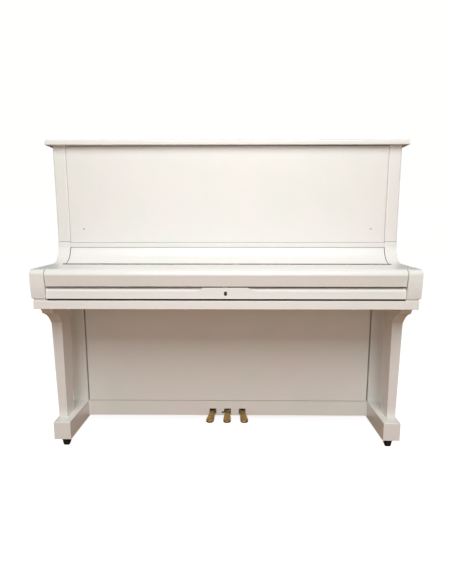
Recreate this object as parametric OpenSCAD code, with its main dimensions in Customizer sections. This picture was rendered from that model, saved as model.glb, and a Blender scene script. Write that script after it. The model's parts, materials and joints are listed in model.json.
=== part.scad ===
// Upright piano with a closed fallboard, a plain upper panel and three pedals.
// Millimetres. +Z is up, +X is the treble end, -Y is the player's side.
// The origin is on the floor, under the middle of the piano.

/* [Overall] */
// Depth from the arm fronts to the back posts
case_d = 650; // [540:1:790]
// Height to the top of the lid hinge
case_h = 1310; // [1265:1:1580]
// Pitch of the white keys, which sets the width
white_pitch = 23.5; // [19:0.1:29]
// Filler between the last key and the arm
cheek_w = 73; // [40:1:120]

/* [Case] */
// Thickness of each arm
arm_t = 53.5; // [45:0.5:70]
// Thickness of each side panel
side_t = 36; // [28:1:42]
// Depth of the stile at the front edge of a side
stile_d = 25; // [18:1:40]
// Width of the lower stile
low_stile_w = 71.5; // [58:0.5:90]
// Setback of the upper panel from the arm fronts
upper_setback = 290.5; // [240:0.5:340]
// Setback of the lower panel from the arm fronts
lower_setback = 352; // [290:1:420]
// Thickness of the front panels
panel_t = 22; // [16:1:30]
// Gap at the sides of the upper panel
panel_gap = 1.2; // [0.8:0.1:3]
// Gap at the sides of the lower panel
low_gap = 5.5; // [2:0.5:8]
// Gap under the lower panel
foot_gap = 2.2; // [0.8:0.1:5]

/* [Lid] */
// Thickness of the lid
lid_t = 20; // [14:1:30]
// Overhang of the lid past each side
lid_over = 22.5; // [10:0.5:30]
// Overhang of the lid past the upper panel
lid_nose = 25; // [10:1:30]
// Depth of the folding front part of the lid
lid_fold = 155; // [110:1:170]

/* [Keyboard] */
// Height of the key bed above the floor
knee_h = 639; // [530:1:680]
// Thickness of the key bed
bed_t = 32; // [26:1:40]
// White key tops above the key bed
key_rise = 67; // [62:1:72]
// Top of the closed fallboard above the key bed
deck_rise = 124; // [116:1:142]
// Distance of the fallboard hinge from the arm fronts
hinge_in = 186.5; // [170:0.5:215]
// Thickness of the fallboard
flap_t = 20; // [16:1:24]
// Height of the hollow moulding above the fallboard
cove_h = 66; // [50:1:90]
// Thickness of the ledge under the upper panel
ledge_t = 20; // [14:1:30]
// Height of the key slip above the key bed
slip_h = 50.5; // [46:0.5:51]
// Distance of the white key fronts from the arm fronts
key_in = 37; // [35:0.5:45]
// Distance from a white key front to its balance point
balance_in = 223; // [200:1:240]

/* [Feet] */
// Height of the toe blocks above the floor
caster_h = 49; // [47:1:70]
// Height of the toe blocks
toe_h = 79; // [66:1:94]
// Distance of the toe fronts from the arm fronts
toe_in = 118; // [95:1:140]
// Width of each leg
leg_w = 46; // [38:0.5:52]
// Radius of the caster wheels
wheel_r = 19; // [16:0.5:21]
// Width of the caster wheels
wheel_w = 22; // [14:0.5:26]

/* [Pedals] */
// Distance between neighbouring pedal tips
pedal_pitch = 79; // [70:1:95]
// Width of a pedal tip
pedal_w = 35; // [28:0.5:40]
// Distance from the pedal pivot to the tip
pedal_reach = 147; // [125:1:170]

/* [Action] */
// Distance from the string plane to the back of the posts
string_in = 135; // [130:1:160]
// Strike point above the key bed
strike_rise = 289; // [275:1:325]
// Forward lean of a hammer at rest, in degrees
hammer_lean = 19.5; // [17:0.5:19.5]
// Clear gap between pieces that move past each other
gap = 0.4; // [0.3:0.05:0.6]

/* [Hidden] */
$fn = 32;

// ---- places that several pieces share ----
in_w = 26 * white_pitch + cheek_w;      // half the width between the arms
half_w = in_w + arm_t;                  // half the width over the sides
wall_w = half_w - side_t;               // half the width between the side panels
bed_w = half_w - 6;                     // half the width of the key bed
front = -case_d / 2;
back = case_d / 2;
face_y = front + upper_setback;         // front of the upper panel
low_y = front + lower_setback;          // front of the lower panel
hinge_y = front + hinge_in;
toe_z = caster_h + toe_h;
bed_top = knee_h + bed_t;
key_top = bed_top + key_rise;
deck_z = bed_top + deck_rise;
cove_z = deck_z + cove_h;
ledge_z = cove_z + ledge_t;
barrel_r = 2;                           // lid hinge knuckle
lid_top = case_h - 1 - barrel_r;
lid_z = lid_top - lid_t;
fold_y = face_y - lid_nose + lid_fold;  // lid hinge line
low_in_w = half_w - low_stile_w;        // half the width between the lower stiles
string_y = back - string_in;            // plane of the treble strings
bed_back = string_y - 85;               // back edge of the key bed

// ---- small helpers ----
function arc(c, r, from, to, n) =
  [for (i = [0:n]) c + r * [cos(from + (to - from) * i / n), sin(from + (to - from) * i / n)]];
function bow(p, q, sag, n) =
  let (d = q - p, side = [-d[1], d[0]] / norm(d))
  [for (i = [0:n]) p + d * i / n + side * sag * 4 * (i / n) * (1 - i / n)];

// A block from its two opposite corners.
module block(a, b) {
  translate(a)
    cube(b - a);
}

// An outline in Y and Z, drawn out along X from x by w.
module along_x(x, w, outline) {
  translate([x, 0, 0])
    rotate([90, 0, 90])
      linear_extrude(w)
        polygon(outline);
}

// An outline in X and Z, drawn out along Y from y by d.
module along_y(y, d, outline) {
  translate([0, y + d, 0])
    rotate([90, 0, 0])
      linear_extrude(d)
        polygon(outline);
}

// A round bar along X, centred on x.
module bar_x(x, y, z, r, w) {
  translate([x - w / 2, y, z])
    rotate([0, 90, 0])
      cylinder(r = r, h = w);
}

// A round bar along Y, from y by d.
module bar_y(x, y, z, r, d) {
  translate([x, y + d, z])
    rotate([90, 0, 0])
      cylinder(r = r, h = d);
}

// A straight wire between two points.
module wire(a, b, r) {
  d = b - a;
  translate(a)
    rotate([0, acos(d[2] / norm(d)), atan2(d[1], d[0])])
      cylinder(r = r, h = norm(d), $fn = 16);
}

// ---- case ----
module side(s) {
  outline = [[low_y, toe_z], [back - 80, toe_z], [back - 80, lid_z], [face_y, lid_z],
    [face_y, bed_top], [low_y, bed_top]];
  color("ivory")
    mirror([s < 0 ? 1 : 0, 0, 0]) {
      along_x(wall_w, side_t, outline);
      block([in_w, face_y, bed_top], [wall_w, face_y + stile_d, lid_z]);
      block([low_in_w, low_y, toe_z], [wall_w, low_y + stile_d, knee_h]);
    }
}
module side_left() { side(-1); }
module side_right() { side(1); }

// Profile of the hollow moulding, which the arms repeat at their back ends.
cove = bow([face_y - 63, deck_z], [face_y - 2.5, cove_z - 0.5], -13, 10);
arm_base = bed_top + 7;
module arm(s) {
  outline = concat(
    [[face_y, arm_base], [front + 14, arm_base]],
    bow([front + 6, arm_base + 3], [front, deck_z - 34], 2, 4),
    arc([front + 20, deck_z - 24], 20, 180, 95, 6),
    cove,
    [[face_y - 1, ledge_z + 4], [face_y, ledge_z + 4]]);
  color("ivory")
    mirror([s < 0 ? 1 : 0, 0, 0]) {
      along_x(in_w, arm_t, outline);
      block([in_w + 1.5, front + 14, bed_top], [bed_w, face_y, arm_base]);
    }
}
module arm_left() { arm(-1); }
module arm_right() { arm(1); }

module lid_rear() {
  w = half_w + lid_over;
  color("ivory")
    block([-w, fold_y + barrel_r + 1.4, lid_z], [w, back - 15, lid_top]);
}

module lid_front() {
  nose = face_y - lid_nose;
  nose_r = lid_t * 0.35;
  w = half_w + lid_over;
  outline = concat(
    [[fold_y - barrel_r - 1.4, lid_top]],
    arc([nose + nose_r, lid_top - nose_r], nose_r, 90, 180, 6),
    [[nose, lid_z + 1], [nose + 1, lid_z], [fold_y - barrel_r - 1.4, lid_z]]);
  color("ivory")
    along_x(-w, 2 * w, outline);
}

// One leaf of a long hinge. The knuckles alternate, and the fixed leaf holds the pin.
module leaf(y, z, w, r, knuckles, side, drop) {
  first = side > 0 ? 0 : 1;
  len = 2 * w / knuckles;
  difference() {
    union() {
      block([-w, y + min(side * (r + 0.4), side * (r + 1.4)), z - drop],
        [w, y + max(side * (r + 0.4), side * (r + 1.4)), z - 1]);
      for (i = [first:2:knuckles - 1])
        translate([-w + len * (i + 0.5), 0, 0]) {
          bar_x(0, y, z, r, len - 0.6);
          block([-len / 2 + 0.3, y + min(0, side * (r + 1)), z - 2],
            [len / 2 - 0.3, y + max(0, side * (r + 1)), z - 1.1]);
        }
    }
    bar_x(0, y, z, r * 0.45 + 0.08, 2 * w + 2);
  }
  if (side > 0)
    bar_x(0, y, z, r * 0.45, 2 * w - 1);
}

lid_hinge_w = half_w + lid_over - 12;
module lid_hinge() {
  color("goldenrod")
    leaf(fold_y, lid_top + 1, lid_hinge_w, barrel_r, 15, 1, 12);
}
module lid_hinge_leaf() {
  color("goldenrod")
    leaf(fold_y, lid_top + 1, lid_hinge_w, barrel_r, 15, -1, 12);
}

module upper_panel() {
  color("ivory")
    block([-in_w + panel_gap, face_y, ledge_z + gap],
      [in_w - panel_gap, face_y + panel_t, lid_z - 2]);
}

module panel_ledge() {
  color("ivory")
    block([-in_w, face_y - 2, cove_z], [in_w, face_y + panel_t + 3, ledge_z]);
}

// Hollow moulding, flat strip behind the fallboard and the name board under it.
flap_r = 3;                             // fallboard hinge knuckle
strip_y = hinge_y + flap_r + 1.4;
module cove_rail() {
  inner = face_y + panel_t;
  outline = concat(
    [[strip_y, deck_z - flap_t], [strip_y, deck_z]],
    cove,
    [[inner, cove_z - 0.5], [inner, deck_z - flap_t]]);
  color("ivory") {
    along_x(-in_w, 2 * in_w, outline);
    block([-in_w, strip_y + 2, key_top + 15], [in_w, strip_y + 18, deck_z - flap_t]);
  }
}

// Closed fallboard: a flat board with a drooping front lip.
flap_w = in_w - 1.5;
flap_end = hinge_y - flap_r - 1.4;
lip_z = bed_top + slip_h + 3.5;
lock_y = front + 19;                    // middle of the lock bolt
module fallboard() {
  rim = 25;
  outline = concat(
    [[flap_end, deck_z - flap_t], [flap_end, deck_z]],
    arc([front + 2 + rim, deck_z - 3 - rim], rim, 85, 175, 8),
    [[front + 12, lip_z], [front + 28, lip_z], [front + 26, deck_z - flap_t - 8],
      [front + 34, deck_z - flap_t]]);
  color("ivory")
    difference() {
      along_x(-flap_w, 2 * flap_w, outline);
      block([-8, lock_y - 3.6, lip_z - 1], [8, lock_y + 3.6, lip_z + 10]);
    }
}
module fallboard_hinge() {
  color("goldenrod")
    leaf(hinge_y, deck_z, flap_w - 1, flap_r, 19, 1, 14);
}
module fallboard_hinge_leaf() {
  color("goldenrod")
    leaf(hinge_y, deck_z, flap_w - 1, flap_r, 19, -1, 14);
}

// Key slip with a finger groove on each side of a full-height middle block.
slip_y = front + 12;
slip_t = 20;
slip_base = bed_top + 7.5;
slip_top = bed_top + slip_h;
plug_z = bed_top + 27.5;
plug_r = 4.5;
keyhole_r = 5.9;                        // half the width of the keyhole's recess
keyhole_d = 3;                          // depth of the recess
groove_h = 14;
groove_y = slip_y - 16;                 // axis of the hollow, in front of the slip and above it
groove_z = slip_top + 10;
groove_r = norm([groove_y - slip_y, groove_z - slip_top + groove_h]);
block_w = 84;                           // half the width of the middle block
block_ramp = 42;                        // length of the curve at each end of it
module key_slip() {
  color("ivory")
    difference() {
      union() {
        block([-in_w + 1, slip_y, slip_base], [in_w - 1, slip_y + slip_t, slip_top]);
        block([-in_w + 1, slip_y + 8, bed_top], [in_w - 1, slip_y + slip_t, slip_base]);
      }
      for (m = [0, 1])
        mirror([m, 0, 0])
          intersection() {
            bar_x(in_w / 2 + block_w / 2, groove_y, groove_z, groove_r, in_w - block_w + 60);
            along_y(slip_y - 1, slip_t, concat(
              bow([block_w, slip_top + 1], [block_w + block_ramp, slip_top - groove_h], -4, 8),
              [[in_w + 5, slip_top - groove_h], [in_w + 5, slip_top + 1]]));
          }
      // keyhole: a tall rounded recess, then the round seat of the plug
      for (dz = [-2.5, 2.5])
        bar_y(0, slip_y - 1, plug_z + dz, keyhole_r, keyhole_d + 1);
      block([-keyhole_r, slip_y - 1, plug_z - 2.5], [keyhole_r, slip_y + keyhole_d, plug_z + 2.5]);
      bar_y(0, slip_y - 1, plug_z, plug_r, 13.1);
      // channel of the bolt, open at the top
      block([-6.4, lock_y - 3.2, plug_z + 5.4], [6.4, lock_y + 3.2, slip_top + 1]);
    }
}

module lock_plug() {
  color("dimgray")
    difference() {
      bar_y(0, slip_y + keyhole_d - 0.5, plug_z, plug_r - 0.08, 9);
      block([-0.8, slip_y + 1, plug_z - 2.6], [0.8, slip_y + keyhole_d + 3, plug_z + 2.6]);
    }
}

module lock_bolt() {
  color("goldenrod")
    block([-6, lock_y - 2.9, plug_z + 6], [6, lock_y + 2.9, slip_top - 2.5]);
}

module key_bed() {
  color("ivory") {
    block([-bed_w, front + 5.5, knee_h], [bed_w, low_y, bed_top]);
    block([-wall_w, low_y, knee_h], [wall_w, bed_back, bed_top]);
  }
}

// ---- legs, toes and casters ----
leg_x = half_w - 4 - leg_w;
leg_back = front + 250;
module leg(s) {
  line_z = knee_h - 84;                 // where the bracket meets the shaft
  foot_y = front + 171;
  neck_y = front + 152;
  outline = concat(
    [[leg_back, line_z], [leg_back, knee_h]],
    bow([front + 50, knee_h], [front + 78, line_z + 54], 5, 4),
    bow([front + 80, line_z + 53], [neck_y, line_z], 9, 8));
  taper = 0.8;                          // width at the foot for a width of 1 at the top
  shaft_side = [[leg_back - 1, toe_z], [leg_back - 1, line_z], [neck_y + 1.5, line_z],
    [foot_y, toe_z]];
  shaft_front = [[leg_x + leg_w * (1 - taper), toe_z], [leg_x + leg_w - 1, toe_z],
    [leg_x + leg_w - 1, line_z], [leg_x + 1, line_z]];
  color("ivory")
    mirror([s < 0 ? 1 : 0, 0, 0]) {
      along_x(leg_x, leg_w, outline);
      intersection() {
        along_x(leg_x, leg_w, shaft_side);
        along_y(front, leg_back - front, shaft_front);
      }
    }
}
module leg_left() { leg(-1); }
module leg_right() { leg(1); }

module toe(s) {
  y = front + toe_in;
  outline = concat(
    [[back, caster_h], [back, toe_z]],
    arc([y + 4, toe_z - 4], 4, 90, 180, 5),
    [[y, caster_h + 1.5], [y + 1.5, caster_h]]);
  color("ivory")
    mirror([s < 0 ? 1 : 0, 0, 0])
      along_x(low_in_w, low_stile_w, outline);
}
module toe_left() { toe(-1); }
module toe_right() { toe(1); }

caster_x = low_in_w + 38;               // swivel axis
caster_y = front + toe_in + 39;
trail = 12;
fork_t = 3;
fork_gap = 1;
stem_r = 7;                             // swivel stem of a front caster
axle_r = 3;
plate_t = 4;
plate_w = 24;                           // half the width of a caster plate
// Fork of a rear caster, open at the sides, with its axle along Y.
module fork(x, y, top) {
  depth = wheel_w / 2 + fork_gap;
  difference() {
    union() {
      for (m = [-1, 1])
        along_y(y + m * (depth + fork_t / 2) - fork_t / 2, fork_t, [
          [x - 8, wheel_r - 6], [x + 8, wheel_r - 6], [x + 12, wheel_r + 6], [x + 6, top],
          [x - trail - 10, top], [x - trail - 10, top - 6], [x - 12, wheel_r + 6]]);
      block([x - trail - 10, y - depth - fork_t, top - 4], [x + 6, y + depth + fork_t, top]);
    }
    bar_y(x, y - depth - 5, wheel_r, axle_r, 2 * depth + 10);
  }
  bar_y(x, y - depth - fork_t - 1.5, wheel_r, axle_r, 2 * (depth + fork_t + 1.5));
}
module caster(s) {
  top = caster_h - plate_t - gap;
  color("dimgray")
    mirror([s < 0 ? 1 : 0, 0, 0]) {
      translate([caster_x, caster_y, 0])
        rotate(90)
          fork(trail, 0, top);
      translate([caster_x, caster_y, top - 1])
        cylinder(r = stem_r, h = plate_t + 1);
    }
}
module caster_left() { caster(-1); }
module caster_right() { caster(1); }

module wheel(x, y) {
  color("black")
    difference() {
      bar_y(x, y - wheel_w / 2, wheel_r, wheel_r, wheel_w);
      for (m = [-1, 1])
        bar_y(x, y + m * wheel_w / 2 - 2, wheel_r, wheel_r - 5, 4);
      bar_y(x, y - wheel_w, wheel_r, axle_r + 0.08, 2 * wheel_w);
    }
}
rear_y = back - 45;
module front_wheel(x) {
  translate([x, caster_y, 0])
    rotate(90)
      wheel(trail, 0);
}
module wheel_left() { front_wheel(-caster_x); }
module wheel_right() { front_wheel(caster_x); }
module rear_wheel_left() { wheel(-caster_x, rear_y); }
module rear_wheel_right() { wheel(caster_x, rear_y); }

// Plates of all four casters, and the two rigid rear forks.
module rear_casters() {
  color("dimgray")
    for (m = [0, 1])
      mirror([m, 0, 0]) {
        difference() {
          for (y = [caster_y, rear_y])
            block([caster_x - plate_w, y - plate_w, caster_h - plate_t],
              [caster_x + plate_w, y + plate_w, caster_h]);
          translate([caster_x, caster_y, caster_h - plate_t - 1])
            cylinder(r = stem_r + 0.08, h = plate_t + 2);
        }
        fork(caster_x, rear_y, caster_h - plate_t);
      }
}

// ---- lower part of the case ----
module lower_panel() {
  color("ivory")
    block([-low_in_w + low_gap, low_y, toe_z + foot_gap],
      [low_in_w - low_gap, low_y + panel_t, knee_h - 3]);
}

slot_z = caster_h + 13;
slot_h = 27;
slot_w = 32;
slot_pitch = pedal_pitch - 9;
module kick_rail() {
  color("ivory")
    difference() {
      block([-low_in_w, low_y, caster_h + 6], [low_in_w, low_y + panel_t, toe_z]);
      for (i = [-1:1])
        block([i * slot_pitch - slot_w / 2, low_y - 1, slot_z],
          [i * slot_pitch + slot_w / 2, low_y + panel_t + 1, slot_z + slot_h]);
      // side notch that holds the middle pedal down
      block([-slot_w / 2 - 11, low_y - 1, slot_z + 0.5], [0, low_y + panel_t + 1, slot_z + 12]);
    }
}

board_z = caster_h + 51;
board_t = 22;
pivot_y = low_y + 35;
pivot_z = caster_h + 25;
rod_r = 6;
row_y = bed_back + rod_r + 1;           // foremost rod and trap lever
row = [row_y, row_y + 22, row_y + 44];
function pedal_x(i) = (i - 1) * slot_pitch;
module bottom_board() {
  color("burlywood")
    difference() {
      block([-low_in_w, low_y + panel_t, board_z], [low_in_w, back - 82, board_z + board_t]);
      for (i = [0:2])
        translate([pedal_x(i), row[i], board_z - 1])
          cylinder(r = 9, h = board_t + 2);
    }
}

// ---- back, plate and strings ----
plate_y = string_y + 13;
plate_t2 = 12;
board_y = string_y + 45;
frame_y = board_y + 8;
plank_z = lid_z - 202;
strut_w = 26;
foot_z = toe_z + 57;                    // bottom of the plate
beam_z = toe_z + 72;                    // top of the bottom beam
post_w = 70;
struts = [for (f = [-0.4, 0.23, 0.57]) f * in_w];
module back_frame() {
  color("burlywood") {
    block([-wall_w, plate_y + plate_t2, plank_z], [wall_w, back, lid_z]);
    block([-wall_w, frame_y, toe_z + gap], [wall_w, back, beam_z]);
    block([-low_in_w + gap, frame_y, board_z], [low_in_w - gap, back, toe_z + gap]);
    for (m = [0, 1])
      mirror([m, 0, 0])
        block([wall_w - post_w, frame_y, beam_z], [wall_w, back, plank_z]);
    for (x = [-wall_w / 2, 0, wall_w / 2])
      block([x - post_w / 2 - 3, frame_y + 22, beam_z], [x + post_w / 2 + 3, back, plank_z]);
  }
}

// Notes are numbered from 0, the lowest A. Five semitones from C share three white
// keys and the other seven share four.
function semi(n) = (n + 9) % 12;
function octave(n) = floor((n + 9) / 12);
function is_black(n) = len(search(semi(n), [1, 3, 6, 8, 10])) > 0;
function white_no(n) = octave(n) * 7 + search(semi(n), [0, 2, 4, 5, 7, 9, 11])[0] - 5;
function strip_w(n) = semi(n) < 5 ? 3 * white_pitch / 5 : 4 * white_pitch / 7;
function strip_x(n) =
  (octave(n) * 7 - 5 - 26) * white_pitch
  + (semi(n) < 5 ? semi(n) * strip_w(n) : 3 * white_pitch + (semi(n) - 5) * strip_w(n));
function note_x(n) = strip_x(n) + strip_w(n) / 2;
TOP_NOTE = 87;
BASS = 28;                              // notes on the bass bridge
MIDDLE_C = 39;
DAMPED = 69;                            // notes that have a damper

strike_z = bed_top + strike_rise;
bass_z = toe_z + 107;                   // bass bridge
pin_z = lid_z - 177;                    // lowest row of tuning pins
short_len = 54;                         // speaking length of the top note
// The hammer strikes at an eighth of each length, and the longest ends above the bass bridge.
long_len = (strike_z - bass_z - 78) * 8 / 7;
function speaking(n) = long_len * pow(short_len / long_len, (n - BASS) / (TOP_NOTE - BASS));
function bridge_z(n) = strike_z - speaking(n) * 7 / 8;
// Sideways run of a bass string for each unit down, which leaves the first pin 30 from the wall.
bass_lean = (wall_w - 30 + note_x(0)) / (pin_z - strike_z);
function pin_at(n) = pin_z + 28 * (n % 4);
function bass_x(n, z) = note_x(n) + (strike_z - z) * bass_lean;
bass_foot = bass_z - 34;                // lower ends of the bass strings
bass_dip = 6;                           // their distance in front of the treble plane there
pin_top = pin_at(3);
function bass_y(z) = string_y - bass_dip * (pin_top - z) / (pin_top - bass_foot);
function wire_r(n) = n < BASS ? 2 - n * 0.035 : 0.6;
pin_r = 3.4;
pin_side = norm([1, bass_lean]);        // sideways room beside a leaning bass string

// Soundboard with its ribs and bridges. The bridges are notched around the struts.
module soundboard() {
  n_rib = 8;
  rib_step = (plank_z - foot_z - 120) / n_rib;
  notes = [for (n = [BASS:5:TOP_NOTE]) n];
  color("tan") {
    block([-wall_w, board_y, board_z + board_t + 20], [wall_w, frame_y, plank_z]);
    for (i = [1:n_rib])
      block([-wall_w + post_w + 6, frame_y, foot_z + i * rib_step],
        [wall_w - post_w - 6, frame_y + 18, foot_z + i * rib_step + 24]);
    difference() {
      union() {
        along_y(string_y + 0.9, board_y - string_y - 0.9, concat(
          [for (n = notes) [note_x(n) - 6, bridge_z(n) + 15]],
          [for (i = [len(notes) - 1:-1:0]) [note_x(notes[i]) - 6, bridge_z(notes[i]) - 15]]));
        along_y(string_y - 3.2, board_y - string_y + 3.2, [
          [bass_x(0, bass_z) - 14, bass_z + 14], [bass_x(0, bass_z) - 14, bass_z - 14],
          [bass_x(BASS - 1, bass_z) + 14, bass_z - 14], [bass_x(BASS - 1, bass_z) + 14, bass_z + 14]]);
      }
      for (x = struts)
        block([x - strut_w / 2 - 4, string_y - 10, foot_z],
          [x + strut_w / 2 + 4, board_y - 0.5, plank_z]);
    }
  }
}

// Cast plate: pin field, hitch field, side bars and struts.
module iron_plate() {
  w = wall_w - 8;
  color("darkgoldenrod") {
    difference() {
      block([-w, plate_y, foot_z], [w, plate_y + plate_t2, lid_z - 47]);
      for (i = [0:len(struts)])
        block([i == 0 ? -w + 34 : struts[i - 1] + strut_w / 2, plate_y - 1, bass_z + 22],
          [i == len(struts) ? w - 34 : struts[i] - strut_w / 2, plate_y + plate_t2 + 1, plank_z]);
      // the bass bridge stands in this opening
      block([bass_x(0, bass_z) - 20, plate_y - 1, bass_z - 20],
        [bass_x(BASS - 1, bass_z) + 20, plate_y + plate_t2 + 1, bass_z + 23]);
    }
    for (x = [-w + 17, -w / 2, w / 2, w - 17])
      bar_y(x, plate_y + plate_t2, foot_z + 14, 10, board_y - plate_y - plate_t2);
  }
}

module tuning_pins() {
  color("silver")
    for (n = [0:TOP_NOTE]) {
      beside = pin_r + wire_r(n) + 0.1;
      x = n < BASS ? bass_x(n, pin_at(n)) + beside * pin_side : note_x(n) + beside;
      bar_y(x, string_y - 12, pin_at(n), pin_r, plate_y - string_y + 12, $fn = 16);
    }
}

module strings_bass() {
  color("peru")
    for (n = [0:BASS - 1])
      wire([bass_x(n, bass_foot), string_y - bass_dip, bass_foot],
        [bass_x(n, pin_at(n)), string_y, pin_at(n)], wire_r(n));
}

module strings_treble() {
  color("silver")
    for (n = [BASS:TOP_NOTE])
      wire([note_x(n), string_y, bridge_z(n) - 42], [note_x(n), string_y, pin_at(n)], wire_r(n));
}

// ---- keyboard ----
key_y = front + key_in;                 // white key fronts
balance_y = key_y + balance_in;
key_end = string_y - 90;
stick_t = 22;
key_z = key_top - stick_t;
cap_y = key_y + 50;                     // black key fronts
cap_h = 12;
capstan_y = string_y - 118;
joint_gap = 0.5;                        // half the gap between two keys

module key_frame() {
  color("burlywood") {
    block([-in_w, key_y + 8, bed_top], [in_w, key_y + 48, bed_top + 22]);
    block([-in_w, balance_y - 20, bed_top], [in_w, balance_y + 20, key_z - 2]);
    block([-in_w, balance_y - 2, key_z - 2], [in_w, balance_y + 2, key_z - 0.3]);
    block([-in_w, key_end - 40, bed_top], [in_w, key_end, key_z - 0.3]);
  }
  color("ivory")
    for (m = [0, 1])
      mirror([m, 0, 0])
        block([26 * white_pitch + 0.8, key_y + 0.5, bed_top + 22],
          [in_w - 0.3, strip_y - 6, key_top + 6]);
}

// A key stick with its capstan.
module stick(n, from) {
  x = strip_x(n) + joint_gap;
  w = strip_w(n) - 2 * joint_gap;
  block([x, from, key_z], [x + w, key_end, key_top]);
  translate([note_x(n), capstan_y, key_top])
    cylinder(r = 4, h = 12);
}

module white_key(n) {
  x = white_no(n) * white_pitch - 26 * white_pitch;
  block([x + joint_gap, key_y, key_z], [x + white_pitch - joint_gap, cap_y - 1, key_top]);
  stick(n, cap_y - 1);
}

module black_key(n) {
  x = note_x(n);
  stick(n, cap_y + 3);
  along_x(x - 5, 10, [[cap_y + 0.5, key_top], [cap_y + 6, key_top + cap_h],
    [cap_y + 96, key_top + cap_h], [cap_y + 96, key_top]]);
}

module white_keys() {
  color("white")
    for (n = [0:TOP_NOTE])
      if (!is_black(n) && n != MIDDLE_C)
        white_key(n);
}
module black_keys() {
  color("black")
    for (n = [0:TOP_NOTE])
      if (is_black(n))
        black_key(n);
}
module middle_c_key() {
  color("white")
    white_key(MIDDLE_C);
}

// ---- action ----
wip_y = string_y - 40;                  // wippen pivot
wip_z = bed_top + 104;
butt_y = string_y - 62;                 // hammer pivot
butt_z = bed_top + 164;
damp_y = string_y - 22;                 // damper pivot
damp_z = bed_top + 129;
part_w = 10;

module wippen(n) {
  x = note_x(n) - part_w / 2;
  foot = key_top + 12 + gap;
  block([x, capstan_y - 6, wip_z - 7], [x + part_w, wip_y + 7, wip_z + 5]);
  block([x, capstan_y - 8, foot], [x + part_w, capstan_y + 8, wip_z - 7]);
  block([x + 2, wip_y - 41, wip_z + 5], [x + 8, wip_y - 34, butt_z - 16]);
  block([x + 4, capstan_y - 6, wip_z + 5], [x + 6, capstan_y - 4, wip_z + 63]);
  block([x + 1, capstan_y - 9, wip_z + 63], [x + 9, capstan_y - 3, wip_z + 83]);
}
module wippens() {
  color("burlywood")
    for (n = [0:TOP_NOTE])
      if (n != MIDDLE_C)
        wippen(n);
}
module middle_c_wippen() {
  color("burlywood")
    wippen(MIDDLE_C);
}

// A hammer is drawn upright on its pivot and leant forward.
module hammer(n) {
  h = strike_z - butt_z;
  nose = string_y - butt_y - 2;
  fat = 13 - 4 * n / TOP_NOTE;
  x = note_x(n);
  translate([0, butt_y, butt_z])
    rotate([hammer_lean, 0, 0]) {
      along_x(x - part_w / 2, part_w, [[-9, -10], [7, -10], [7, 10], [3, 18], [-3, 18], [-9, 6],
        [-30, 6], [-30, -4], [-9, -4]]);
      block([x - 2.5, -2.5, 18], [x + 2.5, 2.5, h - 10]);
      along_x(x - 5, 10, concat(
        [[-9, h - 5], [-6, h - 10], [8, h - 10], [nose - 34, h - fat]],
        arc([nose - fat, h], fat, -80, 80, 6),
        [[nose - 34, h + fat], [8, h + 7], [-9, h + 4]]));
    }
}
module hammers() {
  color("wheat")
    for (n = [0:TOP_NOTE])
      if (n != MIDDLE_C)
        hammer(n);
}
module middle_c_hammer() {
  color("wheat")
    hammer(MIDDLE_C);
}

// Cushioned rail that the hammer shanks rest against.
module hammer_rail() {
  w = 26 * white_pitch + 6;
  color("firebrick")
    translate([0, butt_y, butt_z])
      rotate([hammer_lean, 0, 0])
        block([-w, -20, 78], [w, -3, 98]);
}

// Main rail, damper rail and the two iron end brackets.
module action_frame() {
  w = 26 * white_pitch + 8;
  base = key_top;
  color("gray") {
    block([-w, wip_y - 10, wip_z + 15], [w, wip_y + 8, wip_z + 40]);
    block([-w, wip_y - 9, wip_z + 40], [w, wip_y - 3, butt_z + 4]);
    for (m = [0, 1])
      mirror([m, 0, 0])
        difference() {
          union() {
            along_x(w, 6, [[wip_y - 58, base], [wip_y + 12, base], [wip_y + 12, butt_z + 60],
              [wip_y - 20, butt_z + 175], [wip_y - 34, butt_z + 175], [wip_y - 48, butt_z]]);
            block([w, key_end + 1, bed_top], [w + 6, bed_back, base]);
          }
          along_x(w - 1, 8, [[wip_y - 34, butt_z + 20], [wip_y - 2, butt_z + 20],
            [wip_y - 26, butt_z + 120]]);
        }
  }
}

module dampers() {
  color("linen")
    for (n = [0:DAMPED - 1]) {
      x = note_x(n);
      // the bass strings cross in front of four treble ones here
      pad = n < BASS + 4 ? bass_y(damp_z + 80) - wire_r(0) - gap : string_y - 1;
      block([x - 4, damp_y - 4, damp_z - 25], [x + 4, damp_y + 4, damp_z + 50]);
      block([x - 1, damp_y - 1, damp_z + 50], [x + 1, damp_y + 1, damp_z + 80]);
      block([x - 4.5, damp_y - 2, damp_z + 80], [x + 4.5, pad, damp_z + 116]);
    }
}

muffler_drop = 36;                      // travel of the muffler rail
module muffler_rail() {
  w = 26 * white_pitch + 4;
  bar_z = strike_z + 62;
  felt_z = strike_z + 25;
  felt_y = bass_y(felt_z - muffler_drop) - wire_r(0) - gap;
  color("darkseagreen") {
    block([-w, felt_y - 14, bar_z], [w, felt_y - 2.5, bar_z + 24]);
    block([-w, felt_y - 2.5, felt_z], [w, felt_y, bar_z + 24]);
  }
}

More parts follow.
